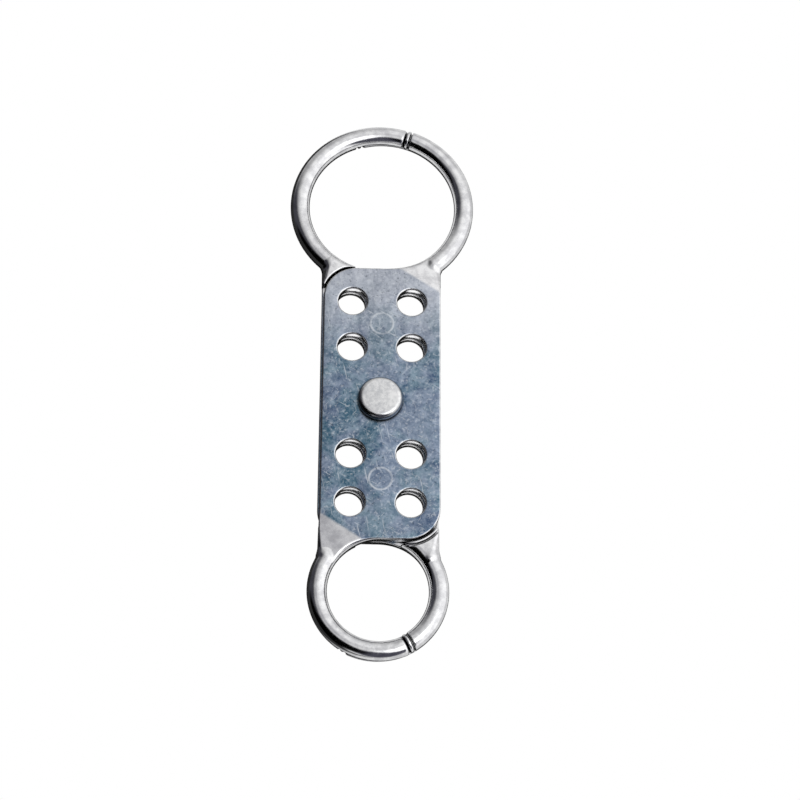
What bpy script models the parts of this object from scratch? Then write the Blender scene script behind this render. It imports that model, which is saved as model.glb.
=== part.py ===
"""Scissor-action lockout hasp: two identical cast aluminium halves on one rivet.

Metres, +Z up. The hasp lies flat with its length along Y, the large jaw at +Y.
The origin is on the rivet's axis, at the flat end of the rivet's tail.
Each half is one casting: a plate, a large hook and a small hook. The back half is
the front half turned half a turn about Y, so the two plates lie face to face and
each end's two hooks close into a ring. The front half turns clockwise to open.
"""

import math

import bmesh
import bpy
from mathutils import Matrix, Vector

MM = 0.001

# Plate
PLATE_LENGTH = 74.0 * MM
PLATE_WIDTH = 30.2 * MM
CORNER_RADIUS = 8.6 * MM
PIVOT_OFFSET = 0.25 * MM  # how far the rivet's hole is off the plate's centre line

# Hooks
LARGE_JAW = 37.6 * MM  # inside diameter of the closed ring
SMALL_JAW = 25.6 * MM
ROD_DIAMETER = 5.0 * MM
LARGE_ROOT_ANGLE = math.radians(50.5)  # where the rod starts, below the ring's middle
SMALL_ROOT_ANGLE = math.radians(30.5)
LARGE_LAP = 12.2 * MM  # how far the two tips overlap, at the middle of the rod
SMALL_LAP = 14.8 * MM

# Root of a hook, between the plate and the rod
ROOT_PROUD = 0.1 * MM  # how far the root stands out from the rod, all round
FACET_INSET = 8.7 * MM  # along the plate's end, from its side to the facet's line
FACET_REACH = 6.5 * MM  # along the plate's side, from its end to the facet's line
FACET_RISE = 1.0 * MM  # from the plate's end down to the facet's line
FACET_SLOPE = math.radians(6.0)
CHAMFER_WIDTH = 1.6 * MM  # of the side chamfer, where the rod starts
CHAMFER_RUN = 6.0 * MM  # along the side, from the rod's start to the chamfer's point
TOE_WIDTH = 0.75 * MM  # of the root's blunt toe, at the plate's side
SLIVER_WIDTH = 0.5 * MM  # of the root's blunt tip, beside the plate's end

# Padlock holes: two columns, two rows at each end
HOLE_DIAMETER = 7.4 * MM
HOLE_SIDE_INSET = 7.5 * MM  # centre to the plate's side
HOLE_END_INSET = 9.55 * MM  # centre of the outer row to the plate's end
HOLE_PITCH = 12.85 * MM  # between rows

# Rivet
SHANK_DIAMETER = 6.0 * MM
HEAD_DIAMETER = 11.4 * MM
HEAD_HEIGHT = 2.2 * MM
HEAD_EDGE = 0.9 * MM
TAIL_DIAMETER = 9.0 * MM
TAIL_HEIGHT = 1.8 * MM
TAIL_EDGE = 0.7 * MM

# Clearances
PARTING_GAP = 0.3 * MM  # between the two plates, and between the lapped tips
CORNER_GAP = 0.6 * MM  # between a plate's free corner and the other half's root
TIP_GAP = 0.4 * MM  # between a tip's end and the other hook's shoulder
SHANK_CLEARANCE = 0.3 * MM
SEAT_CLEARANCE = 0.3 * MM  # under the head, and over the tail

# How finely round shapes are divided
ROD_SIDES = 16
HOLE_SIDES = 24
RIVET_SIDES = 40
ARC_STEP = math.radians(6.0)

# Worked out from the sizes above
ROD_RADIUS = ROD_DIAMETER / 2
STACK_HALF = ROD_RADIUS + ROOT_PROUD
PLATE_BOTTOM = PARTING_GAP / 2
HALF_LENGTH = PLATE_LENGTH / 2
HALF_WIDTH = PLATE_WIDTH / 2
BORE_DIAMETER = SHANK_DIAMETER + 2 * SHANK_CLEARANCE
PARTING_HEIGHT = TAIL_HEIGHT + SEAT_CLEARANCE + STACK_HALF
CUT_MARGIN = 1.0 * MM  # how far a cutter runs past what it cuts


class Hook:
    """One hook of a half, in a frame where the plate's end is at +Y, its root at +X."""

    def __init__(self, jaw, root_angle, lap, drift, tongue_up):
        self.inner = jaw / 2
        self.middle = self.inner + ROD_RADIUS
        self.outer = self.inner + ROD_DIAMETER
        self.centre = HALF_LENGTH + self.inner
        self.root_angle = root_angle
        self.drift = drift  # from this plate's centre line to the other's
        self.tongue_up = tongue_up
        self.lap_angle = math.asin(lap / 2 / self.middle)
        self.tip_gap_angle = (TIP_GAP + drift * math.cos(self.lap_angle)) / self.middle

    def at(self, radius, angle):
        """The point at a radius and at an angle from +X about the ring's centre."""
        return (radius * math.cos(angle), self.centre + radius * math.sin(angle))


def arc(centre, radius, start, end):
    """Points along an arc, both ends included."""
    steps = max(2, math.ceil(abs(end - start) / ARC_STEP))
    angles = [start + (end - start) * i / steps for i in range(steps + 1)]
    return [(centre[0] + radius * math.cos(a), centre[1] + radius * math.sin(a)) for a in angles]


def root_side(hook):
    """The root's straight side, from the plate's side to the start of the rod."""
    start = Vector((HALF_WIDTH, HALF_LENGTH - CORNER_RADIUS))
    end = Vector(hook.at(hook.outer, -hook.root_angle))
    return start, end


def circles_meet(centre_a, radius_a, centre_b, radius_b):
    """Where two circles cross, on the right going from the first centre to the second."""
    between = centre_b - centre_a
    distance = between.length
    along = (radius_a**2 - radius_b**2 + distance**2) / (2 * distance)
    across = math.sqrt(radius_a**2 - along**2)
    forward = between / distance
    return centre_a + forward * along + Vector((forward.y, -forward.x)) * across


def root_seam(hook):
    """Where the root turns up past the other half's plate, from its side to the jaw.

    It follows the plate's free corner, then the circle that the corner swings on.
    """
    corner = Vector((HALF_WIDTH - CORNER_RADIUS + hook.drift, HALF_LENGTH - CORNER_RADIUS))
    radius = CORNER_RADIUS + CORNER_GAP
    side_start, side_end = root_side(hook)
    along = (side_end - side_start).normalized()
    offset = side_start - corner
    back = offset.dot(along)
    toe_reach = radius + TOE_WIDTH
    toe = side_start + along * (math.sqrt(back**2 - offset.length_squared + toe_reach**2) - back)
    toe_angle = math.atan2(toe.y - corner.y, toe.x - corner.x)

    pivot = Vector((hook.drift / 2, 0.0))
    reach = corner - pivot
    apex_angle = math.atan2(reach.y, reach.x)
    swing = reach.length + radius
    jaw = Vector((0.0, hook.centre))
    tip = circles_meet(pivot, swing, jaw, hook.inner + SLIVER_WIDTH)
    tip_angle = math.atan2(tip.y - pivot.y, tip.x - pivot.x)
    jaw_angle = math.atan2(tip.y - jaw.y, tip.x - jaw.x)

    points = [tuple(toe)] + arc(corner, radius, toe_angle, apex_angle)
    points += arc(pivot, swing, apex_angle, tip_angle)[1:]
    return points + [hook.at(hook.inner - ROOT_PROUD, jaw_angle)]


def root_jaw_edge(hook):
    """The root's edge on the jaw, from the seam to the rod, then out to its outer side."""
    first = root_seam(hook)[-1]
    start = math.atan2(first[1] - hook.centre, first[0])
    inner = arc((0.0, hook.centre), hook.inner - ROOT_PROUD, start, -hook.root_angle)
    return inner[1:] + [hook.at(hook.outer, -hook.root_angle)]


def plate_end_edge(hook):
    """The plate's end from the seam along the jaw to its middle, then its free corner."""
    first = root_seam(hook)[-1]
    start = math.atan2(first[1] - hook.centre, first[0])
    jaw = arc((0.0, hook.centre), hook.inner - ROOT_PROUD, start, -math.pi / 2)
    corner = (-HALF_WIDTH + CORNER_RADIUS, HALF_LENGTH - CORNER_RADIUS)
    return jaw[1:-1] + arc(corner, CORNER_RADIUS, math.pi / 2, math.pi)


def half_turn(points):
    """The points turned half a turn about Z."""
    return [(-x, -y) for x, y in points]


def mesh_object(name, mesh):
    """A new object from a bmesh, with its faces pointing out."""
    bmesh.ops.recalc_face_normals(mesh, faces=mesh.faces)
    data = bpy.data.meshes.new(name)
    mesh.to_mesh(data)
    mesh.free()
    made = bpy.data.objects.new(name, data)
    bpy.context.scene.collection.objects.link(made)
    return made


def blank(hooks):
    """The plate with both of its roots at their full height, before the cuts."""
    mesh = bmesh.new()
    corners = {}

    def vert(point, height):
        key = (point, height)
        if key not in corners:
            corners[key] = mesh.verts.new((point[0], point[1], height))
        return corners[key]

    def face(points, height):
        mesh.faces.new([vert(point, height) for point in points])

    def walls(points, low, high):
        for a, b in zip(points, points[1:] + points[:1]):
            mesh.faces.new([vert(a, low), vert(b, low), vert(b, high), vert(a, high)])

    side = (HALF_WIDTH, HALF_LENGTH - CORNER_RADIUS)
    outline = []
    underside = []
    roots = []
    for hook, place in zip(hooks, (list, half_turn)):
        seam = place(root_seam(hook))
        jaw = place(root_jaw_edge(hook))
        end = place(plate_end_edge(hook))
        start = place([side])
        outline += start + seam[:1] + jaw[::-1] + seam[-1:] + end
        underside += start + seam + end
        roots.append(seam + jaw)
    face(outline, STACK_HALF)
    walls(outline, PLATE_BOTTOM, STACK_HALF)
    face(underside, PLATE_BOTTOM)
    for root in roots:
        walls(root, -STACK_HALF, PLATE_BOTTOM)
        face(root, -STACK_HALF)
    return mesh_object("half", mesh)


def prism(name, points, low, high):
    """A cutter from a plan outline. low and high give the heights over a plan point."""
    mesh = bmesh.new()
    bottom = [mesh.verts.new((x, y, low(x, y))) for x, y in points]
    top = [mesh.verts.new((x, y, high(x, y))) for x, y in points]
    mesh.faces.new(bottom)
    mesh.faces.new(top)
    for i, vert in enumerate(bottom):
        j = (i + 1) % len(bottom)
        mesh.faces.new([vert, bottom[j], top[j], top[i]])
    return mesh_object(name, mesh)


def level(height):
    """A height that is the same over every plan point."""
    return lambda x, y: height


def facet_cutter(hook):
    """Cuts the sloping flat across the root, on the plate's outer face."""
    line_start = Vector((HALF_WIDTH - FACET_INSET, HALF_LENGTH - FACET_RISE))
    line_end = Vector((HALF_WIDTH, HALF_LENGTH - FACET_REACH))
    along = (line_end - line_start).normalized()
    across = Vector((-along.y, along.x))
    far = (Vector(hook.at(hook.outer, -hook.root_angle)) - line_start).dot(across)
    reach = abs(far) + ROD_DIAMETER
    length = (line_end - line_start).length

    def slope(x, y):
        beyond = (Vector((x, y)) - line_start).dot(across)
        return STACK_HALF - beyond * math.tan(FACET_SLOPE)

    ends = (-ROD_DIAMETER, length + ROD_DIAMETER)
    corners = [(ends[0], -CUT_MARGIN), (ends[1], -CUT_MARGIN), (ends[1], reach), (ends[0], reach)]
    plan = [tuple(line_start + along * a + across * b) for a, b in corners]
    return prism("facet_cutter", plan, slope, level(STACK_HALF + ROD_DIAMETER))


def chamfer_cutter(hook, side):
    """Cuts the side chamfer that widens towards the rod. side is 1 above, -1 below."""
    side_start, side_end = root_side(hook)
    run = (side_end - side_start).normalized() * CHAMFER_RUN
    rod_start = Vector((*side_end, side * STACK_HALF))
    point = rod_start - run.to_3d()
    inner = rod_start - Vector((CHAMFER_WIDTH, 0, 0))
    outer = rod_start - Vector((0, 0, side * CHAMFER_WIDTH))
    normal = (inner - point).cross(outer - point).normalized()
    if normal.x < 0:
        normal = -normal
    along = (rod_start - point).normalized()
    across = normal.cross(along)
    along = across.cross(normal)
    mesh = bmesh.new()
    bmesh.ops.create_cube(mesh, size=1.0)
    size = Matrix.Diagonal((4 * CHAMFER_RUN, 2 * ROD_DIAMETER, ROD_DIAMETER, 1.0))
    turn = Matrix((along, across, normal)).transposed().to_4x4()
    lift = Matrix.Translation((0, 0, ROD_DIAMETER / 2))
    mesh.transform(Matrix.Translation(rod_start) @ turn @ lift @ size)
    return mesh_object("chamfer_cutter", mesh)


def rod(hook):
    """The round rod, from just inside the root to the end of the tip."""
    mesh = bmesh.new()
    bury = CUT_MARGIN / hook.middle
    start = -hook.root_angle - bury
    end = math.pi / 2 + hook.lap_angle - hook.tip_gap_angle
    steps = math.ceil((end - start) / ARC_STEP)
    rings = []
    for i in range(steps + 1):
        angle = start + (end - start) * i / steps
        ring = []
        for side in range(ROD_SIDES):
            turn = 2 * math.pi * side / ROD_SIDES
            x, y = hook.at(hook.middle + ROD_RADIUS * math.cos(turn), angle)
            ring.append(mesh.verts.new((x, y, ROD_RADIUS * math.sin(turn))))
        rings.append(ring)
    for near, far in zip(rings, rings[1:]):
        for side in range(ROD_SIDES):
            after = (side + 1) % ROD_SIDES
            mesh.faces.new([near[side], near[after], far[after], far[side]])
    mesh.faces.new(rings[0])
    mesh.faces.new(rings[-1])
    return mesh_object("rod", mesh)


def lap_cutter(hook):
    """Cuts the rod down to its tongue, from the shoulder to past the tip."""
    start = math.pi / 2 - hook.lap_angle
    end = math.pi / 2 + hook.lap_angle + CUT_MARGIN / hook.inner
    centre = (0.0, hook.centre)
    plan = arc(centre, hook.outer + CUT_MARGIN, start, end)
    plan += arc(centre, hook.inner - CUT_MARGIN, end, start)
    if hook.tongue_up:
        return prism("lap_cutter", plan, level(-ROD_DIAMETER), level(PLATE_BOTTOM))
    return prism("lap_cutter", plan, level(-PLATE_BOTTOM), level(ROD_DIAMETER))


def hole_cutter(x, y, diameter):
    """Cuts a round hole through the plate."""
    mesh = bmesh.new()
    bmesh.ops.create_cone(
        mesh,
        cap_ends=True,
        segments=HOLE_SIDES,
        radius1=diameter / 2,
        radius2=diameter / 2,
        depth=2 * ROD_DIAMETER,
        matrix=Matrix.Translation((x, y, 0)),
    )
    return mesh_object("hole_cutter", mesh)


def padlock_holes():
    """The centres of the padlock holes in the plate."""
    column = HALF_WIDTH - HOLE_SIDE_INSET
    outer_row = HALF_LENGTH - HOLE_END_INSET
    rows = (outer_row, outer_row - HOLE_PITCH)
    return [(sx * column, sy * row) for row in rows for sy in (1, -1) for sx in (1, -1)]


def combine(body, tool, operation):
    """Joins a tool to a body, or cuts it out of the body."""
    modifier = body.modifiers.new(tool.name, "BOOLEAN")
    modifier.operation = operation
    modifier.solver = "EXACT"
    modifier.object = tool


def half_mesh():
    """One half of the hasp about its rivet hole, the parting plane at zero height."""
    hooks = (
        Hook(LARGE_JAW, LARGE_ROOT_ANGLE, LARGE_LAP, drift=-2 * PIVOT_OFFSET, tongue_up=False),
        Hook(SMALL_JAW, SMALL_ROOT_ANGLE, SMALL_LAP, drift=2 * PIVOT_OFFSET, tongue_up=True),
    )
    body = blank(hooks)
    tools = []
    turns = (Matrix.Identity(4), Matrix.Rotation(math.pi, 4, "Z"))

    def add(tool, operation, turn=turns[0]):
        tool.data.transform(turn)
        tools.append(tool)
        combine(body, tool, operation)

    for hook, turn in zip(hooks, turns):
        add(facet_cutter(hook), "DIFFERENCE", turn)
        add(chamfer_cutter(hook, 1), "DIFFERENCE", turn)
        add(chamfer_cutter(hook, -1), "DIFFERENCE", turn)
        add(rod(hook), "UNION", turn)
        add(lap_cutter(hook), "DIFFERENCE", turn)
    for x, y in padlock_holes():
        add(hole_cutter(x, y, HOLE_DIAMETER), "DIFFERENCE")
    add(hole_cutter(-PIVOT_OFFSET, 0.0, BORE_DIAMETER), "DIFFERENCE")

    evaluated = body.evaluated_get(bpy.context.evaluated_depsgraph_get())
    mesh = bpy.data.meshes.new_from_object(evaluated)
    mesh.transform(Matrix.Translation((PIVOT_OFFSET, 0, 0)))
    for spare in [body] + tools:
        bpy.data.objects.remove(spare)
    return mesh


def rivet_profile():
    """The rivet's turned outline from its tail up, as (radius, height) points."""
    tail = TAIL_DIAMETER / 2
    head = HEAD_DIAMETER / 2
    shank = SHANK_DIAMETER / 2
    neck_top = TAIL_HEIGHT + 2 * SEAT_CLEARANCE + 2 * STACK_HALF
    top = neck_top + HEAD_HEIGHT
    points = [(0.0, 0.0)]
    points += arc((tail - TAIL_EDGE, TAIL_EDGE), TAIL_EDGE, -math.pi / 2, 0.0)[::5]
    points += [(tail, TAIL_HEIGHT), (shank, TAIL_HEIGHT), (shank, neck_top), (head, neck_top)]
    points += arc((head - HEAD_EDGE, top - HEAD_EDGE), HEAD_EDGE, 0.0, math.pi / 2)[::5]
    return points + [(0.0, top)]


def rivet_mesh():
    """The rivet, turned about the origin's vertical axis."""
    mesh = bmesh.new()
    profile = rivet_profile()
    verts = [mesh.verts.new((radius, 0, height)) for radius, height in profile]
    edges = [mesh.edges.new(pair) for pair in zip(verts, verts[1:])]
    bmesh.ops.spin(
        mesh,
        geom=verts + edges,
        cent=(0, 0, 0),
        axis=(0, 0, 1),
        angle=2 * math.pi,
        steps=RIVET_SIDES,
        use_merge=True,
    )
    bmesh.ops.remove_doubles(mesh, verts=mesh.verts, dist=MM / 1000)
    bmesh.ops.recalc_face_normals(mesh, faces=mesh.faces)
    data = bpy.data.meshes.new("pivot_rivet")
    mesh.to_mesh(data)
    mesh.free()
    return data


def metal(name, colour, roughness):
    """A plain metal."""
    material = bpy.data.materials.new(name)
    material.use_nodes = True
    shader = material.node_tree.nodes["Principled BSDF"]
    shader.inputs["Base Color"].default_value = (*colour, 1.0)
    shader.inputs["Metallic"].default_value = 1.0
    shader.inputs["Roughness"].default_value = roughness
    material.diffuse_color = (*colour, 1.0)
    return material


def add_piece(name, mesh, material, height, turn=0.0):
    """Places a named piece on the rivet's axis, turned about Y."""
    piece = bpy.data.objects.new(name, mesh)
    bpy.context.scene.collection.objects.link(piece)
    piece.location = (0, 0, height)
    piece.rotation_euler = (0, turn, 0)
    mesh.materials.clear()
    mesh.materials.append(material)
    mesh.shade_smooth()
    mesh.set_sharp_from_angle(angle=math.radians(35))
    return piece


def main():
    for spare in list(bpy.data.objects):
        bpy.data.objects.remove(spare)
    half = half_mesh()
    front_metal = metal("front_aluminium", (0.42, 0.46, 0.52), 0.32)
    back_metal = metal("back_aluminium", (0.40, 0.44, 0.50), 0.34)
    rivet_metal = metal("rivet_aluminium", (0.72, 0.73, 0.75), 0.38)
    add_piece("front_half", half, front_metal, PARTING_HEIGHT)
    add_piece("back_half", half.copy(), back_metal, PARTING_HEIGHT, turn=math.pi)
    add_piece("pivot_rivet", rivet_mesh(), rivet_metal, 0.0)


main()
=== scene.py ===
"""Looks of the lockout hasp: detailed castings and rivet, metals, studio and camera.

The two castings are modelled as a solid field: a function of space that is negative
inside the metal. Edges that a casting mould and tumbling leave rounded are rounded
in the field, and the field's zero surface becomes the mesh. The field's sizes are
millimetres, in a frame on the middle of the plate, with the parting plane at z = 0.
"""

import math
import bmesh
import bpy
import numpy as np
from mathutils import Matrix, Vector


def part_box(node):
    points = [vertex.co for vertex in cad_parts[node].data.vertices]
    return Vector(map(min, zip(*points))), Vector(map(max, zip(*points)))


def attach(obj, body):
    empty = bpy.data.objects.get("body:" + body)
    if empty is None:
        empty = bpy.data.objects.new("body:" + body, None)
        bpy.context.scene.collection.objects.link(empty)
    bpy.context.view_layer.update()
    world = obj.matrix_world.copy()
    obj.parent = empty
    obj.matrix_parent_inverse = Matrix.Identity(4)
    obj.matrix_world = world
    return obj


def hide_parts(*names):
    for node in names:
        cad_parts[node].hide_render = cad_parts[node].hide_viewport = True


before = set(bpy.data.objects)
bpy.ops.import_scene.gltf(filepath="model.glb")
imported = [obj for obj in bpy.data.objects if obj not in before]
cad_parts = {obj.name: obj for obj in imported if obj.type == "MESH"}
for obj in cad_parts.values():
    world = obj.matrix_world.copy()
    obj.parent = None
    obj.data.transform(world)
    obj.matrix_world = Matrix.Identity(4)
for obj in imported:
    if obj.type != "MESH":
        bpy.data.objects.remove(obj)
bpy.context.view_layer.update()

MM = 0.001

# The castings, in millimetres and radians, as the CAD model has them
PLATE_WIDTH = 30.2
CORNER_RADIUS = 8.6
PIVOT_OFFSET = 0.25
LARGE_JAW = 37.6
SMALL_JAW = 25.6
ROD_DIAMETER = 5.0
LARGE_ROOT_ANGLE = math.radians(50.5)
SMALL_ROOT_ANGLE = math.radians(30.5)
LARGE_LAP = 12.2
SMALL_LAP = 14.8
FACET_INSET = 8.7
FACET_REACH = 6.5
FACET_RISE = 1.0
FACET_SLOPE = math.radians(6.0)
TOE_WIDTH = 0.75
SLIVER_WIDTH = 0.5
HOLE_DIAMETER = 7.4
HOLE_SIDE_INSET = 7.5
HOLE_END_INSET = 9.55
HOLE_PITCH = 12.85
CORNER_GAP = 0.6
TIP_GAP = 0.4
SHANK_DIAMETER = 6.0
BORE_CLEARANCE = 0.3

# Fine shape that only the detailed castings have, in millimetres
PARTING_CREVICE = 0.1  # what can be seen between the two plates
CHAMFER_WIDTH = 1.8  # 0.2 more than the CAD model's
CHAMFER_RUN = 8.5  # 2.5 more than the CAD model's
EDGE_ROUND = 0.42
PARTING_ROUND = 0.22
HOLE_ROUND = 0.5
FACET_ROUND = 0.25
TIP_ROUND = 0.7
LAP_ROUND = 0.25
ROD_BURY = 1.8  # how far the rod runs into the root
START_ROUND = 1.6  # round the rod's buried end
JOIN_ROUND = 1.2  # fills the hollow corner where the rod leaves the root's outer side
GROOVE_HALF = 0.3  # half the width of the narrow groove beside each shoulder
GROOVE_DEPTH = 0.7
GROOVE_OFFSET = 1.05  # from the shoulder, along the rod
GROOVE_REACH = 0.2  # how far the groove goes past the parting plane, on the lap's side
LINE_HALF = 0.32  # half the width of the fine line along the seam on the small jaw's root
LINE_DEPTH = 0.8
LINE_OFFSET = 0.9  # from the seam
MARK_RADIUS = 2.9  # of the two round ejector marks
MARK_HEIGHT = 21.2  # of their middles, up and down from the rivet
MARK_LINE = 0.38  # half the width of their lines, with the soft edge

# How the castings' field becomes a mesh
GRID = 0.2  # millimetres between the field's samples
KEEP_FACES = 0.2  # of the faces, most of them where the surface bends

# The rivet, in millimetres
HEAD_RADIUS = 5.7
TAIL_RADIUS = 4.5
SHANK_RADIUS = SHANK_DIAMETER / 2
HEAD_ROUND = 1.4  # round the head's outer rim
HEAD_UNDER_ROUND = 0.45
TAIL_ROUND = 0.7  # round the tail's outer rim
TAIL_UPPER_ROUND = 0.15
RIVET_GAP = 0.03  # from the head and from the tail to the plates
RIVET_SIDES = 96

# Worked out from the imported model
front_low, front_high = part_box("front_half")
PARTING_HEIGHT = (front_low.z + front_high.z) / 2
STACK_HALF = (front_high.z - front_low.z) / 2 / MM
HALF_LENGTH = front_high.y / MM - LARGE_JAW - ROD_DIAMETER
HALF_WIDTH = PLATE_WIDTH / 2
ROD_RADIUS = ROD_DIAMETER / 2
PLATE_BOTTOM = PARTING_CREVICE / 2
HOLE_COLUMN = HALF_WIDTH - HOLE_SIDE_INSET
OUTER_ROW = HALF_LENGTH - HOLE_END_INSET
INNER_ROW = OUTER_ROW - HOLE_PITCH


def round_max(a, b, radius):
    """The field of what is in both solids, with the convex edge between them rounded."""
    inside = np.minimum(np.maximum(a, b) + radius, 0)
    return inside + np.hypot(np.maximum(a + radius, 0), np.maximum(b + radius, 0)) - radius


def round_min(a, b, radius):
    """The field of what is in either solid, with the hollow corner between them filled."""
    return -round_max(-a, -b, radius)


def smooth_step(value):
    """0 below 0, 1 above 1, and a smooth rise between."""
    t = np.clip(value, 0, 1)
    return t * t * (3 - 2 * t)


def arc(centre, radius, start, end, step=math.radians(2.5)):
    """Points along an arc, both ends included."""
    steps = max(2, math.ceil(abs(end - start) / step))
    angles = np.linspace(start, end, steps + 1)
    return [(centre[0] + radius * math.cos(a), centre[1] + radius * math.sin(a)) for a in angles]


def outline_distance(points, x, y):
    """The signed distance in plan to a closed outline, negative inside."""
    nearest = np.full(x.shape, np.inf)
    inside = np.zeros(x.shape, bool)
    for (ax, ay), (bx, by) in zip(points, points[1:] + points[:1]):
        dx, dy = bx - ax, by - ay
        along = np.clip(((x - ax) * dx + (y - ay) * dy) / (dx * dx + dy * dy), 0, 1)
        nearest = np.minimum(nearest, (x - ax - along * dx) ** 2 + (y - ay - along * dy) ** 2)
        if ay != by:
            crosses = (ay > y) != (by > y)
            inside ^= crosses & (x < ax + (y - ay) * dx / dy)
    return np.where(inside, -1, 1) * np.sqrt(nearest)


def circles_meet(centre_a, radius_a, centre_b, radius_b):
    """Where two circles cross, on the right going from the first centre to the second."""
    between = centre_b - centre_a
    distance = between.length
    along = (radius_a**2 - radius_b**2 + distance**2) / (2 * distance)
    across = math.sqrt(radius_a**2 - along**2)
    forward = between / distance
    return centre_a + forward * along + Vector((forward.y, -forward.x)) * across


class Hook:
    """One hook in its own plan frame: the plate's end at +Y, the root at +X."""

    def __init__(self, jaw, root_angle, lap, drift, tongue_up, turn):
        self.inner = jaw / 2
        self.middle = self.inner + ROD_RADIUS
        self.outer = self.inner + ROD_DIAMETER
        self.centre = HALF_LENGTH + self.inner
        self.root_angle = root_angle
        self.drift = drift  # from this plate's centre line to the other's
        self.tongue = 1 if tongue_up else -1
        self.turn = turn  # -1 where the hook's frame is turned half a turn
        lap_angle = math.asin(lap / 2 / self.middle)
        self.shoulder = math.pi / 2 - lap_angle
        gap_angle = (TIP_GAP + drift * math.cos(lap_angle)) / self.middle
        self.tip = math.pi / 2 + lap_angle - gap_angle

    def at(self, radius, angle):
        """The point at a radius and at an angle from +X about the ring's centre."""
        return (radius * math.cos(angle), self.centre + radius * math.sin(angle))

    def side(self):
        """The root's straight side, from the plate's side to the start of the rod."""
        start = Vector((HALF_WIDTH, HALF_LENGTH - CORNER_RADIUS))
        return start, Vector(self.at(self.outer, -self.root_angle))

    def seam(self):
        """Where the root turns up past the other half's plate, from its side to the jaw."""
        corner = Vector((HALF_WIDTH - CORNER_RADIUS + self.drift, HALF_LENGTH - CORNER_RADIUS))
        radius = CORNER_RADIUS + CORNER_GAP
        side_start, side_end = self.side()
        along = (side_end - side_start).normalized()
        offset = side_start - corner
        back = offset.dot(along)
        reach = math.sqrt(back**2 - offset.length_squared + (radius + TOE_WIDTH) ** 2) - back
        toe = side_start + along * reach
        toe_angle = math.atan2(toe.y - corner.y, toe.x - corner.x)
        pivot = Vector((self.drift / 2, 0.0))
        to_corner = corner - pivot
        apex_angle = math.atan2(to_corner.y, to_corner.x)
        swing = to_corner.length + radius
        jaw = Vector((0.0, self.centre))
        tip = circles_meet(pivot, swing, jaw, self.inner + SLIVER_WIDTH)
        tip_angle = math.atan2(tip.y, tip.x - pivot.x)
        points = [tuple(toe)] + arc(corner, radius, toe_angle, apex_angle)
        points += arc(pivot, swing, apex_angle, tip_angle)[1:]
        return points + [self.at(self.inner, math.atan2(tip.y - jaw.y, tip.x))]

    def jaw_edge(self):
        """The root's edge on the jaw, from the seam to the rod, then out to its side."""
        first = self.seam()[-1]
        start = math.atan2(first[1] - self.centre, first[0])
        inner = arc((0.0, self.centre), self.inner, start, -self.root_angle)
        return inner[1:] + [self.at(self.outer, -self.root_angle)]

    def end_edge(self):
        """The plate's end, from the seam along the jaw and round its free corner."""
        first = self.seam()[-1]
        start = math.atan2(first[1] - self.centre, first[0])
        jaw = arc((0.0, self.centre), self.inner, start, -math.pi / 2)
        corner = (-HALF_WIDTH + CORNER_RADIUS, HALF_LENGTH - CORNER_RADIUS)
        return jaw[1:-1] + arc(corner, CORNER_RADIUS, math.pi / 2, math.pi)

    def place(self, points):
        """Points of the hook's frame in the half's frame."""
        return [(self.turn * x, self.turn * y) for x, y in points]


HOOKS = (
    Hook(LARGE_JAW, LARGE_ROOT_ANGLE, LARGE_LAP, -2 * PIVOT_OFFSET, False, 1),
    Hook(SMALL_JAW, SMALL_ROOT_ANGLE, SMALL_LAP, 2 * PIVOT_OFFSET, True, -1),
)


def slab(plan, z, low, high, low_round, high_round):
    """A plan outline's solid between two heights, with its edges rounded."""
    return np.maximum(round_max(plan, low - z, low_round), round_max(plan, z - high, high_round))


def blank_field(x, y, z):
    """The plate and both roots, before the root's flats are cut."""
    outline = []
    roots = []
    for hook in HOOKS:
        seam, jaw, end = hook.seam(), hook.jaw_edge(), hook.end_edge()
        outline += hook.place([tuple(hook.side()[0])] + seam[:1] + jaw[::-1] + seam[-1:] + end)
        roots.append(hook.place(seam + jaw))
    plan = outline_distance(outline, x, y)
    field = slab(plan, z, PLATE_BOTTOM, STACK_HALF, PARTING_ROUND, EDGE_ROUND)
    for root in roots:
        plan = outline_distance(root, x, y)
        post = slab(plan, z, -STACK_HALF, STACK_HALF - 2 * EDGE_ROUND, EDGE_ROUND, EDGE_ROUND)
        field = round_min(field, post, PARTING_ROUND)
    return field


def facet_line():
    """A point on the line in plan where a root's facet starts, and the way across it."""
    along = np.array((FACET_INSET, FACET_RISE - FACET_REACH))
    across = np.array((-along[1], along[0])) / np.hypot(*along)
    return np.array((HALF_WIDTH - FACET_INSET, HALF_LENGTH - FACET_RISE)), across


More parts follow.
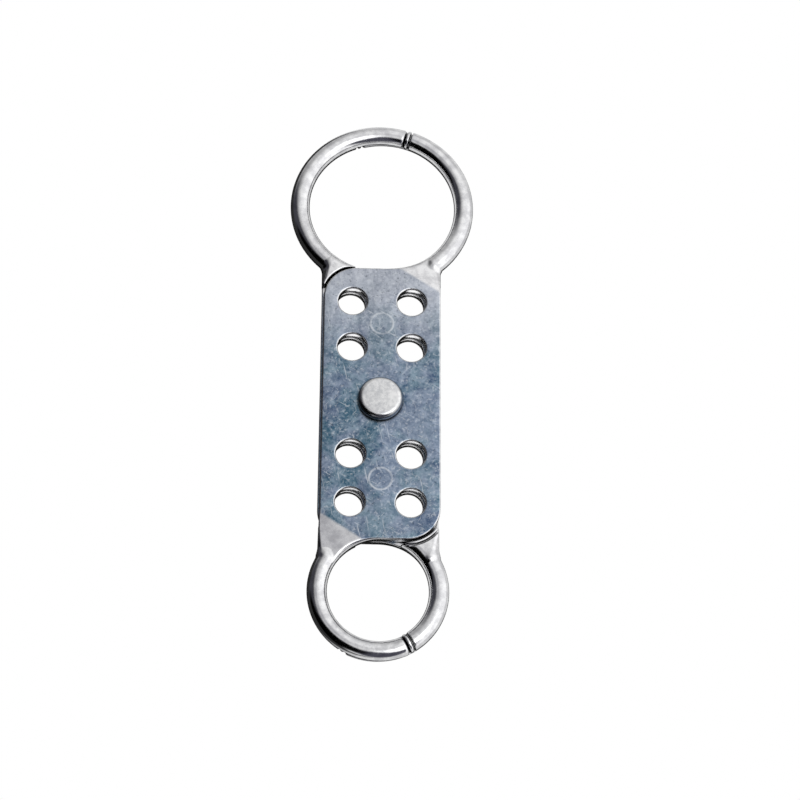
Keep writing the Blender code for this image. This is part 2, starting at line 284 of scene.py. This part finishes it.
def cut_root(field, hook, x, y, z):
    """Cuts a root's rounded edge on the jaw, its facet and chamfers, and its fine line."""
    radius = np.hypot(x, y - hook.centre)
    angle = np.arctan2(y - hook.centre, x)
    run = (angle + math.pi / 2) / (math.pi / 2 - hook.root_angle)
    above = EDGE_ROUND + (ROD_RADIUS - EDGE_ROUND) * smooth_step(run)
    below = EDGE_ROUND + (ROD_RADIUS - EDGE_ROUND) * smooth_step(2 * run)
    edge = np.where(z > 0, above, below)
    field = np.maximum(field, round_max(hook.inner - radius, np.abs(z) - STACK_HALF, edge))

    start, across = facet_line()
    beyond = (x - start[0]) * across[0] + (y - start[1]) * across[1]
    facet = (z - STACK_HALF) * math.cos(FACET_SLOPE) + beyond * math.sin(FACET_SLOPE)
    field = round_max(field, facet, FACET_ROUND)

    side_start, side_end = hook.side()
    chamfer = (side_end - side_start).normalized() * CHAMFER_RUN
    for way in (1, -1):
        rod_start = Vector((*side_end, way * STACK_HALF))
        point = rod_start - chamfer.to_3d()
        inner = rod_start - Vector((CHAMFER_WIDTH, 0, 0))
        outer = rod_start - Vector((0, 0, way * CHAMFER_WIDTH))
        normal = (inner - point).cross(outer - point).normalized()
        normal *= math.copysign(1, normal.x)
        height = (x - point.x) * normal.x + (y - point.y) * normal.y + (z - point.z) * normal.z
        field = round_max(field, height, FACET_ROUND)

    if hook.tongue == 1:
        corner_x, corner_y = HALF_WIDTH - CORNER_RADIUS + hook.drift, HALF_LENGTH - CORNER_RADIUS
        aside = np.hypot(x - corner_x, y - corner_y) - CORNER_RADIUS - CORNER_GAP - LINE_OFFSET
        line = LINE_HALF - np.hypot(aside, (z + STACK_HALF) * LINE_HALF / LINE_DEPTH)
        field = round_max(field, line, LINE_HALF / 3)
    return field


def rod_field(hook, x, y, z):
    """The round rod, its half-lapped tip and the groove beside its shoulder."""
    radius = np.hypot(x, y - hook.centre)
    turn = np.mod(np.arctan2(y - hook.centre, x) + math.pi / 2, 2 * math.pi) - math.pi / 2
    rod = np.hypot(radius - hook.middle, z) - ROD_RADIUS
    start = (-hook.root_angle - turn) * radius - ROD_BURY
    tip = (turn - hook.tip) * radius
    shoulder = (turn - hook.shoulder) * radius
    lap = np.minimum(shoulder, PLATE_BOTTOM - hook.tongue * z)
    depth = rod * GROOVE_HALF / GROOVE_DEPTH
    groove = GROOVE_HALF - np.hypot(shoulder + GROOVE_OFFSET, depth)
    groove = np.minimum(groove, GROOVE_REACH - hook.tongue * z)
    rod = round_max(rod, groove, GROOVE_HALF / 3)
    rod = round_max(rod, lap, LAP_ROUND)
    return round_max(round_max(rod, tip, TIP_ROUND), start, START_ROUND)


def half_field(x, y, z):
    """The whole casting."""
    field = blank_field(x, y, z)
    for hook in HOOKS:
        field = cut_root(field, hook, hook.turn * x, hook.turn * y, z)
    for hook in HOOKS:
        rod = rod_field(hook, hook.turn * x, hook.turn * y, z)
        radius = np.hypot(x, y - hook.turn * hook.centre)
        outward = smooth_step((radius - hook.inner) / ROD_RADIUS - 0.3)
        field = round_min(field, rod, JOIN_ROUND * outward)
    for row in (OUTER_ROW, INNER_ROW):
        hole = HOLE_DIAMETER / 2 - np.hypot(np.abs(x) - HOLE_COLUMN, np.abs(y) - row)
        field = round_max(field, hole, HOLE_ROUND)
    bore = SHANK_DIAMETER / 2 + BORE_CLEARANCE - np.hypot(x + PIVOT_OFFSET, y)
    field = round_max(field, bore, HOLE_ROUND)
    return field


def surface(field, low, step):
    """The zero surface of a sampled field, as vertices and the quads between them.

    One vertex sits in each cell that the surface passes through, at the mean of the
    places where it crosses the cell's edges. Each crossed grid edge makes one quad.
    """
    solid = field < 0
    shape = np.array(field.shape)
    cells = shape - 1
    total = np.zeros((*cells, 3), np.float32)
    count = np.zeros(cells, np.float32)
    crossed = []
    for axis in range(3):
        here = [slice(None)] * 3
        there = [slice(None)] * 3
        here[axis] = slice(0, -1)
        there[axis] = slice(1, None)
        a, b = field[tuple(here)], field[tuple(there)]
        edges = np.argwhere(solid[tuple(here)] != solid[tuple(there)])
        va, vb = a[tuple(edges.T)], b[tuple(edges.T)]
        point = edges.astype(np.float32)
        point[:, axis] += va / (va - vb)
        others = [i for i in range(3) if i != axis]
        inner = np.all((edges[:, others] > 0) & (edges[:, others] < cells[others]), axis=1)
        edges, point, va = edges[inner], point[inner], va[inner]
        crossed.append((axis, others, edges, va < 0))
        for first in (0, 1):
            for second in (0, 1):
                cell = edges.copy()
                cell[:, others[0]] -= first
                cell[:, others[1]] -= second
                np.add.at(total, tuple(cell.T), point)
                np.add.at(count, tuple(cell.T), 1)
    used = np.argwhere(count > 0)
    index = np.full(cells, -1, np.int64)
    index[tuple(used.T)] = np.arange(len(used))
    vertices = total[tuple(used.T)] / count[tuple(used.T)][:, None]
    quads = []
    for axis, others, edges, inward in crossed:
        corners = []
        for first, second in ((0, 0), (1, 0), (1, 1), (0, 1)):
            cell = edges.copy()
            cell[:, others[0]] -= first
            cell[:, others[1]] -= second
            corners.append(index[tuple(cell.T)])
        quad = np.stack(corners, 1)
        flip = inward if axis == 1 else ~inward
        quad[flip] = quad[flip][:, ::-1]
        quads.append(quad)
    return vertices * step + low, np.concatenate(quads)


def sample(grid, points, low, step):
    """A grid's values at points, blended from the grid's nearest corners."""
    place = np.clip((points - low) / step, 0, np.array(grid.shape[:3]) - 1.001)
    base = place.astype(int)
    part = place - base
    result = np.zeros((len(points), grid.shape[3]))
    for corner in np.ndindex(2, 2, 2):
        weight = np.prod(np.where(np.array(corner), part, 1 - part), axis=1)
        result += weight[:, None] * grid[tuple((base + corner).T)]
    return result


def half_mesh():
    """The casting's mesh in metres about the rivet's axis, with the field's own normals."""
    large, small = HOOKS
    margin = 3 * GRID
    reach = large.outer + margin
    low = np.array((-reach, -(small.centre + small.outer) - margin, -STACK_HALF - margin))
    high = np.array((reach, large.centre + large.outer + margin, STACK_HALF + margin))
    counts = np.ceil((high - low) / GRID).astype(int) + 1
    axes = [low[i] + GRID * np.arange(counts[i]) for i in range(3)]
    x, y = np.meshgrid(axes[0], axes[1], indexing="ij")
    field = half_field(x[:, :, None], y[:, :, None], axes[2][None, None, :]).astype(np.float32)
    slopes = np.stack(np.gradient(field, GRID), axis=-1)
    vertices, quads = surface(field, low, GRID)

    mesh = bpy.data.meshes.new("half")
    mesh.from_pydata(vertices.tolist(), [], quads.tolist())
    thinned = thin_out(mesh, KEEP_FACES)
    points = np.zeros(len(thinned.vertices) * 3)
    thinned.vertices.foreach_get("co", points)
    normals = sample(slopes, points.reshape(-1, 3), low, GRID)
    normals /= np.linalg.norm(normals, axis=1)[:, None] + 1e-9
    thinned.transform(Matrix.Scale(MM, 4) @ Matrix.Translation((PIVOT_OFFSET, 0, 0)))
    thinned.shade_smooth()
    thinned.normals_split_custom_set_from_vertices(normals.tolist())
    return thinned


def thin_out(mesh, ratio):
    """The mesh with fewer faces, most of them kept where the surface bends."""
    spare = bpy.data.objects.new("spare", mesh)
    bpy.context.scene.collection.objects.link(spare)
    modifier = spare.modifiers.new("thin", "DECIMATE")
    modifier.ratio = ratio
    evaluated = spare.evaluated_get(bpy.context.evaluated_depsgraph_get())
    result = bpy.data.meshes.new_from_object(evaluated)
    bpy.data.objects.remove(spare)
    return result


def rim(radius, height, size, upper, steps):
    """The rounded rim of a disc, in profile, from its lower end to its upper end."""
    quarter = math.pi / 2
    if upper:
        centre, start, end = (radius - size, height - size), 0.0, quarter
    else:
        centre, start, end = (radius - size, height + size), -quarter, 0.0
    return arc(centre, size, start, end, quarter / steps)


def turned(profile, sides):
    """A profile turned about Z, from a point on the axis to another: a mesh's parts."""
    ring = profile[1:-1]
    count = len(ring)
    verts = [(0.0, 0.0, profile[0][1] * MM), (0.0, 0.0, profile[-1][1] * MM)]
    faces = []
    for side in range(sides):
        angle = 2 * math.pi * side / sides
        across, away = math.cos(angle) * MM, math.sin(angle) * MM
        verts += [(radius * across, radius * away, height * MM) for radius, height in ring]
        here = 2 + side * count
        there = 2 + (side + 1) % sides * count
        faces.append((0, there, here))
        for i in range(count - 1):
            faces.append((here + i, there + i, there + i + 1, here + i + 1))
        faces.append((1, here + count - 1, there + count - 1))
    return verts, [], faces


def rivet_mesh(top):
    """The rivet, turned about its axis: a flat tail, a shank and a flat pan head."""
    head_low = PARTING_HEIGHT / MM + STACK_HALF + RIVET_GAP
    tail_top = PARTING_HEIGHT / MM - STACK_HALF - RIVET_GAP
    profile = [(0.0, 0.0)]
    profile += rim(TAIL_RADIUS, 0.0, TAIL_ROUND, False, 6)
    profile += rim(TAIL_RADIUS, tail_top, TAIL_UPPER_ROUND, True, 3)
    profile += [(SHANK_RADIUS, tail_top), (SHANK_RADIUS, head_low)]
    profile += rim(HEAD_RADIUS, head_low, HEAD_UNDER_ROUND, False, 5)
    profile += rim(HEAD_RADIUS, top, HEAD_ROUND, True, 12)
    profile += [(0.0, top)]
    data = bpy.data.meshes.new("rivet")
    data.from_pydata(*turned(profile, RIVET_SIDES))
    data.shade_smooth()
    data.set_sharp_from_angle(angle=math.radians(40))
    return data


def add_object(name, mesh, material):
    """A new object in the scene, with this material and no other."""
    made = bpy.data.objects.new(name, mesh)
    bpy.context.scene.collection.objects.link(made)
    mesh.materials.clear()
    mesh.materials.append(material)
    return made


class Nodes:
    """A short way to write a material's node tree."""

    def __init__(self, material):
        material.use_nodes = True
        self.tree = material.node_tree

    def add(self, kind, inputs=None, **settings):
        """A node. inputs gives each input's value, or the output that feeds it."""
        node = self.tree.nodes.new("ShaderNode" + kind)
        for name, value in settings.items():
            setattr(node, name, value)
        for key, value in (inputs or {}).items():
            self.set(node.inputs[key], value)
        return node

    def set(self, socket, value):
        """Feeds an input with an output or with a plain value."""
        if isinstance(value, bpy.types.NodeSocket):
            self.tree.links.new(value, socket)
        else:
            socket.default_value = value

    def math(self, operation, *values):
        """The result of a calculation."""
        return self.add("Math", dict(enumerate(values)), operation=operation).outputs[0]

    def noise(self, where, scale, detail=3.0, roughness=0.5, distortion=0.0):
        """A noise value between 0 and 1."""
        inputs = {
            "Vector": where,
            "Scale": scale,
            "Detail": detail,
            "Roughness": roughness,
            "Distortion": distortion,
        }
        return self.add("TexNoise", inputs).outputs["Fac"]

    def range(self, value, low, high, to_low=0.0, to_high=1.0):
        """A value carried smoothly from one range to another."""
        names = ("Value", "From Min", "From Max", "To Min", "To Max")
        inputs = dict(zip(names, (value, low, high, to_low, to_high)))
        return self.add("MapRange", inputs, interpolation_type="SMOOTHSTEP").outputs[0]

    def mix(self, factor, a, b):
        """A colour between two."""
        node = self.add("Mix", data_type="RGBA")
        for socket, value in zip((node.inputs[0], node.inputs[6], node.inputs[7]), (factor, a, b)):
            self.set(socket, value)
        return node.outputs[2]

    def shine(self, colour, strength):
        """Makes the material give light and nothing else."""
        self.tree.nodes.remove(self.tree.nodes["Principled BSDF"])
        glow = self.add("Emission", {"Color": colour, "Strength": strength})
        self.set(self.tree.nodes["Material Output"].inputs["Surface"], glow.outputs[0])


# The metals' colours; a pair is a dark end and a light end, with noise between them
# the colour of the painted shade in narrow gaps and seams
CREVICE_SHADE = (0.015, 0.016, 0.018, 1.0)
DULL = ((0.032, 0.085, 0.170, 1.0), (0.40, 0.49, 0.61, 1.0))  # the scuffed plates
# painted light: the plates' colour at the large jaw, lighter as their reflection is there
DULL_PAINTED_LIGHT = ((0.40, 0.43, 0.50, 1.0), (0.73, 0.76, 0.83, 1.0))  # the same, at the large jaw
TINT = ((0.14, 0.31, 0.34, 1.0), (0.25, 0.28, 0.41, 1.0))  # greener and bluer patches
BRIGHT = ((0.70, 0.70, 0.72, 1.0), (0.94, 0.94, 0.95, 1.0))  # the roots and the rods
SCUFF = (0.80, 0.84, 0.88, 1.0)
PIT = (0.05, 0.07, 0.10, 1.0)
BRUISE = (0.35, 0.42, 0.50, 1.0)
RIVET_FACE = ((0.66, 0.67, 0.69, 1.0), (0.97, 0.97, 0.97, 1.0))
# painted shade on the rivet head's steep side
RIVET_SIDE_SHADE = (0.30, 0.31, 0.33, 1.0)
BUMP_DEPTH = 0.1 * MM


def painted_crevice_shade(nodes, colour, reach, closed, open_):
    """A metal's colour with painted shade: darkened in narrow gaps and seams, where shade falls.

    reach is in millimetres. closed and open_ are how open to the air the metal is, from 0
    to 1, where the painted shade is full and where there is none.
    """
    distance = {"Distance": reach * MM}
    openness = nodes.add("AmbientOcclusion", distance, samples=8).outputs["AO"]
    unshaded = nodes.range(openness, closed, open_)
    return nodes.mix(unshaded, CREVICE_SHADE, colour)


def past_facet(nodes, place):
    """0 on the plates' flats, and 1 past the facets' lines, on the roots and the rods."""
    start, across = facet_line()
    beyond = []
    for way in (1, -1):
        line = (start.dot(across) + way * PIVOT_OFFSET * across[0]) * MM
        aim = (way * across[0], way * across[1], 0)
        distance = nodes.add("VectorMath", {0: place, 1: aim}, operation="DOT_PRODUCT")
        edge = nodes.math("SUBTRACT", distance.outputs["Value"], line)
        beyond.append(nodes.range(edge, -0.5 * MM, 0.4 * MM))
    return nodes.math("MAXIMUM", *beyond)


def plate_flat(nodes, place):
    """1 on the plates' outer flats, and 0 on every edge, wall, root and rod."""
    normal = nodes.add("NewGeometry").outputs["Normal"]
    lift = nodes.math("ABSOLUTE", nodes.add("SeparateXYZ", {0: normal}).outputs["Z"])
    level = nodes.range(lift, 0.86, 0.985)
    return nodes.math("MULTIPLY", level, nodes.math("SUBTRACT", 1.0, past_facet(nodes, place)))


def ejector_marks(nodes, place):
    """1 on the two round lines that the mould's ejector pins left, 0 elsewhere."""
    split = nodes.add("SeparateXYZ", {0: place})
    height = nodes.math("SUBTRACT", nodes.math("ABSOLUTE", split.outputs["Y"]), MARK_HEIGHT * MM)
    aside = nodes.math("SUBTRACT", split.outputs["X"], PIVOT_OFFSET * MM)
    flat = nodes.add("CombineXYZ", {0: aside, 1: height}).outputs[0]
    radius = nodes.add("VectorMath", {0: flat}, operation="LENGTH").outputs["Value"]
    off = nodes.math("ABSOLUTE", nodes.math("SUBTRACT", radius, MARK_RADIUS * MM))
    line = nodes.range(off, 0.3 * MARK_LINE * MM, MARK_LINE * MM, 1.0, 0.0)
    outside = nodes.math("GREATER_THAN", split.outputs["Z"], STACK_HALF / 2 * MM)
    return nodes.math("MULTIPLY", line, outside)


def cast_aluminium(name, shift):
    """Tumbled cast aluminium: scuffed, mottled plates, and rods polished bright."""
    material = bpy.data.materials.new(name)
    nodes = Nodes(material)
    shader = nodes.tree.nodes["Principled BSDF"]
    place = nodes.add("TexCoord").outputs["Object"]
    where = nodes.add("Mapping", {"Vector": place, "Location": (shift, shift, 0)}).outputs[0]
    flat = plate_flat(nodes, place)

    patch = nodes.noise(where, 110.0, 4.0, 0.6)
    cloud = nodes.noise(where, 420.0, 4.0, 0.65)
    speckle = nodes.noise(where, 1200.0, 3.0, 0.6)
    grain = nodes.noise(where, 3200.0, 2.0, 0.5)
    pits = nodes.range(nodes.noise(where, 1700.0, 1.0), 0.26, 0.32, 1.0, 0.0)
    flecks = nodes.range(nodes.noise(where, 1400.0, 2.0, 0.6), 0.57, 0.68)

    # Thin scratches that run in three directions
    scratches = 0.0
    for turn, scale in ((0.5, 260.0), (-0.9, 364.0), (1.35, 208.0)):
        turned = nodes.add("Mapping", {"Vector": where, "Rotation": (0, 0, turn)}).outputs[0]
        drawn = nodes.add("Mapping", {"Vector": turned, "Scale": (1.0, 14.0, 1.0)}).outputs[0]
        line = nodes.noise(drawn, scale, 1.5, 0.45, 0.25)
        scratches = nodes.math("ADD", scratches, nodes.range(line, 0.66, 0.76))
    scratches = nodes.math("MINIMUM", scratches, 1.0)

    # The plates: dark and light patches, a tint, and painted light that makes them lighter towards
    # the large jaw
    worn = nodes.math("MULTIPLY", nodes.range(patch, 0.42, 0.58), 0.36)
    worn = nodes.math("MULTIPLY_ADD", nodes.range(cloud, 0.42, 0.60), 0.36, worn)
    worn = nodes.math("MULTIPLY_ADD", nodes.range(speckle, 0.42, 0.58), 0.28, worn)
    hue = nodes.range(nodes.noise(where, 170.0, 2.0), 0.38, 0.62)
    dull = nodes.mix(0.25, nodes.mix(worn, *DULL), nodes.mix(hue, *TINT))
    along = nodes.add("SeparateXYZ", {0: place}).outputs["Y"]
    far = nodes.range(along, 6 * MM, 37 * MM, 0.0, 0.9)
    dull = nodes.mix(far, dull, nodes.mix(worn, *DULL_PAINTED_LIGHT))

    # Light scuffs and ejector marks, and dark pits
    wear = nodes.range(cloud, 0.35, 0.6, 0.35, 1.0)
    # The ejector marks' light lines are partly wear and partly a painted highlight of their edges
    ring = nodes.math("MULTIPLY", ejector_marks(nodes, place), wear)
    scuff = nodes.math("MAXIMUM", scratches, nodes.math("MULTIPLY", flecks, 0.6))
    scuff = nodes.math("MAXIMUM", scuff, ring)
    dull = nodes.mix(nodes.math("MULTIPLY", scuff, 0.65), dull, SCUFF)
    dull = nodes.mix(nodes.math("MULTIPLY", pits, 0.6), dull, PIT)

    # The roots and the rods
    bright = nodes.mix(nodes.range(cloud, 0.35, 0.65), *BRIGHT)
    bruise = nodes.range(nodes.noise(where, 160.0, 2.0), 0.70, 0.76)
    bright = nodes.mix(bruise, bright, BRUISE)
    # Painted shade darkens the narrow gaps, seams and grooves
    colour = painted_crevice_shade(nodes, nodes.mix(flat, bright, dull), 1.0, 0.35, 0.9)
    nodes.set(shader.inputs["Base Color"], colour)
    shader.inputs["Metallic"].default_value = 1.0

    rough = nodes.math("MULTIPLY_ADD", worn, 0.10, 0.28)
    rough = nodes.math("MULTIPLY_ADD", scratches, 0.08, rough)
    smooth = nodes.math("MULTIPLY_ADD", nodes.range(speckle, 0.3, 0.7), 0.06, 0.11)
    gap = nodes.math("SUBTRACT", rough, smooth)
    nodes.set(shader.inputs["Roughness"], nodes.math("MULTIPLY_ADD", gap, flat, smooth))

    height = nodes.math("MULTIPLY", speckle, 0.5)
    height = nodes.math("MULTIPLY_ADD", grain, 0.25, height)
    height = nodes.math("MULTIPLY_ADD", ring, 0.8, height)
    height = nodes.math("MULTIPLY_ADD", scratches, -0.3, height)
    height = nodes.math("MULTIPLY_ADD", pits, -0.6, height)
    strength = nodes.math("MULTIPLY_ADD", flat, 0.23, 0.05)
    bump = nodes.add("Bump", {"Strength": strength, "Distance": BUMP_DEPTH, "Height": height})
    nodes.set(shader.inputs["Normal"], bump.outputs[0])
    return material


def rivet_aluminium():
    """The rivet's light satin metal, mottled on the head's face, with painted shade on its steep
    side.
    """
    material = bpy.data.materials.new("rivet_aluminium")
    nodes = Nodes(material)
    shader = nodes.tree.nodes["Principled BSDF"]
    place = nodes.add("TexCoord").outputs["Object"]
    cloud = nodes.noise(place, 260.0, 4.0, 0.6)
    grain = nodes.noise(place, 2200.0, 2.0)
    speck = nodes.noise(place, 900.0, 3.0, 0.6)
    blotch = nodes.math("MULTIPLY_ADD", nodes.range(speck, 0.35, 0.65), 0.25, cloud)
    colour = nodes.mix(nodes.range(blotch, 0.35, 0.9), *RIVET_FACE)
    # Painted shade: the head's steep side walls get a darker colour
    normal = nodes.add("NewGeometry").outputs["Normal"]
    lift = nodes.add("SeparateXYZ", {0: normal}).outputs["Z"]
    side = nodes.range(lift, 0.6, 0.95, 1.0, 0.0)
    colour = nodes.mix(side, colour, RIVET_SIDE_SHADE)
    # Painted shade darkens the head where it comes close to the plate
    nodes.set(shader.inputs["Base Color"], painted_crevice_shade(nodes, colour, 2.0, 0.55, 0.95))
    shader.inputs["Metallic"].default_value = 1.0
    rough = nodes.range(cloud, 0.3, 0.7, 0.22, 0.32)
    nodes.set(shader.inputs["Roughness"], nodes.math("MULTIPLY_ADD", side, -0.12, rough))
    height = nodes.math("MULTIPLY_ADD", grain, 0.4, cloud)
    bump = nodes.add("Bump", {"Strength": 0.12, "Distance": BUMP_DEPTH, "Height": height})
    nodes.set(shader.inputs["Normal"], bump.outputs[0])
    return material


WHITE = (1.0, 1.0, 1.0, 1.0)
TENT_GREY = (0.60, 0.60, 0.60, 1.0)
TENT_RADIUS = 1.5  # metres

# Heights of what lies under the hasp, in millimetres, from the table up
TABLE_HEIGHT = -0.2
PAPER_HEIGHT = -0.1
SPOT_HEIGHT = -0.05
SHEET_HALF = 1.0  # metres, half of a sheet's side
SHADE_REACH = 7  # millimetres from the hasp, where the paper goes dark
SPOT_RADIUS = 1.7  # millimetres, of the light that a padlock hole lets through
SPOT_LIGHT = 1.1

# The camera: a lens in millimetres, its shift, its turns in degrees, its distance in metres
LENS = 99.18
SENSOR_WIDTH = 36.0
SHIFT = (0.0252, 0.0046)
YAW, PITCH, ROLL = 1.977, -22.207, -0.602
CAMERA_DISTANCE = 0.560245

# The tent's cards: a name, where the middle is (degrees round from +X, and up from level),
# how far it reaches (degrees, the even middle and the soft edge) and its light
CARDS = (
    ("light_far", 80, 48, 12, 34, (0.84, 0.84, 0.84)),
    ("grey_top", 150, 76, 6, 17, (0.46, 0.46, 0.48)),
    ("grey_far", 140, 20, 20, 60, (0.42, 0.42, 0.42)),
    ("light_right", 345, 30, 30, 75, (1.1, 1.1, 1.1)),
    ("grey_left", 172, 22, 26, 50, (0.05, 0.05, 0.06)),
    ("grey_near", 278, 34, 24, 40, (0.07, 0.07, 0.09)),
    ("white_window", 322, 61, 13, 25, (1.7, 1.7, 1.7)),
    ("black_low", 204, 12, 28, 40, (0.0, 0.0, 0.0)),
    ("black_high", 224, 38, 23, 34, (0.0, 0.0, 0.0)),
)


def white_light(name, strength):
    """A material that only gives white light."""
    material = bpy.data.materials.new(name)
    Nodes(material).shine(WHITE, strength)
    return material


def tent():
    """A tent all round that shines grey, with soft-edged light and dark cards on it."""
    mesh = bmesh.new()
    bmesh.ops.create_uvsphere(mesh, u_segments=64, v_segments=32, radius=TENT_RADIUS)
    data = bpy.data.meshes.new("tent")
    mesh.to_mesh(data)
    mesh.free()
    material = bpy.data.materials.new("tent")
    nodes = Nodes(material)
    place = nodes.add("NewGeometry").outputs["Position"]
    towards = nodes.add("VectorMath", {0: place}, operation="NORMALIZE").outputs[0]
    colour = TENT_GREY
    for _, azimuth, elevation, sharp, soft, light in CARDS:
        a, e = math.radians(azimuth), math.radians(elevation)
        aim = (math.cos(a) * math.cos(e), math.sin(a) * math.cos(e), math.sin(e))
        near = nodes.add("VectorMath", {0: towards, 1: aim}, operation="DOT_PRODUCT")
        angle = nodes.math("ARCCOSINE", near.outputs["Value"])
        edges = math.radians(sharp), math.radians(soft)
        colour = nodes.mix(nodes.range(angle, *edges, 1.0, 0.0), colour, (*light, 1.0))
    nodes.shine(colour, 1.0)
    made = add_object("tent", data, material)
    made.visible_camera = False


def sheet(name, height, material):
    """A wide level sheet."""
    half = SHEET_HALF
    corners = [(-half, -half, 0), (half, -half, 0), (half, half, 0), (-half, half, 0)]
    mesh = bpy.data.meshes.new(name)
    mesh.from_pydata(corners, [], [(0, 1, 2, 3)])
    made = add_object(name, mesh, material)
    made.location.z = height
    return made


def shaded_paper():
    """Paper that shines white, with a painted shadow close to the hasp and painted shade towards
    its left side.
    """
    material = bpy.data.materials.new("paper")
    nodes = Nodes(material)
    reach = {"Distance": SHADE_REACH * MM}
    open_sky = nodes.add("AmbientOcclusion", reach, samples=16).outputs["AO"]
    light = nodes.range(open_sky, 0.86, 0.98, 0.01, 0.7)
    # Painted shade towards the left side
    across = nodes.add("SeparateXYZ", {0: nodes.add("NewGeometry").outputs["Position"]})
    side = nodes.range(across.outputs["X"], -22 * MM, -8 * MM, 0.04, 1.0)
    light = nodes.math("MULTIPLY", light, side)
    nodes.shine(WHITE, light)
    return material


def hole_lights():
    """The spots of light that come through the padlock holes onto the paper."""
    mesh = bmesh.new()
    radius = SPOT_RADIUS * MM
    for across in (-HOLE_COLUMN, HOLE_COLUMN):
        for row in (OUTER_ROW, INNER_ROW, -INNER_ROW, -OUTER_ROW):
            place = Matrix.Translation((across * MM, row * MM, SPOT_HEIGHT * MM))
            bmesh.ops.create_circle(mesh, cap_ends=True, segments=32, radius=radius, matrix=place)
    data = bpy.data.meshes.new("hole_lights")
    mesh.to_mesh(data)
    mesh.free()
    made = add_object("hole_lights", data, white_light("hole_light", SPOT_LIGHT))
    made.visible_camera = False


def studio():
    """The tent over a white glowing table, and the paper that the metal sees on it."""
    world = bpy.data.worlds.new("room")
    bpy.context.scene.world = world
    world.use_nodes = True
    background = world.node_tree.nodes["Background"]
    background.inputs["Color"].default_value = WHITE
    bpy.context.scene.view_settings.view_transform = "Standard"
    tent()
    sheet("table", TABLE_HEIGHT * MM, white_light("table_white", 1.0))
    sheet("paper", PAPER_HEIGHT * MM, shaded_paper()).visible_camera = False
    hole_lights()


def camera():
    """A long lens beyond the small jaw's end, looking down at the hasp."""
    data = bpy.data.cameras.new("camera")
    data.lens = LENS
    data.sensor_width = SENSOR_WIDTH
    data.shift_x, data.shift_y = SHIFT
    data.clip_start = 0.01
    made = bpy.data.objects.new("camera", data)
    bpy.context.scene.collection.objects.link(made)
    yaw = Matrix.Rotation(math.radians(YAW), 3, "Y")
    pitch = Matrix.Rotation(math.radians(PITCH), 3, "X")
    roll = Matrix.Rotation(math.radians(ROLL), 3, "Z")
    axes = (roll @ pitch @ yaw).transposed()
    target = Vector((0, 0, PARTING_HEIGHT))
    made.location = target + axes @ Vector((0, 0, CAMERA_DISTANCE))
    made.rotation_euler = axes.to_euler()
    bpy.context.scene.camera = made


def main():
    """Builds the camera, the studio and the three pieces, in the CAD pieces' place."""
    camera()
    studio()
    half = half_mesh()
    front = add_object("front_casting", half, cast_aluminium("front_aluminium", 0.0))
    front.location = (0, 0, PARTING_HEIGHT)
    back = add_object("back_casting", half.copy(), cast_aluminium("back_aluminium", 0.3))
    back.location = (0, 0, PARTING_HEIGHT)
    back.rotation_euler = (0, math.pi, 0)
    _, rivet_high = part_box("pivot_rivet")
    rivet = add_object("rivet", rivet_mesh(rivet_high.z / MM), rivet_aluminium())
    for piece, node, body, slot in (
        (front, "front_half", "front", "front_aluminium"),
        (back, "back_half", "back", "back_aluminium"),
        (rivet, "pivot_rivet", "back", "rivet_aluminium"),
    ):
        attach(piece, body)
        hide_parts(node)


main()
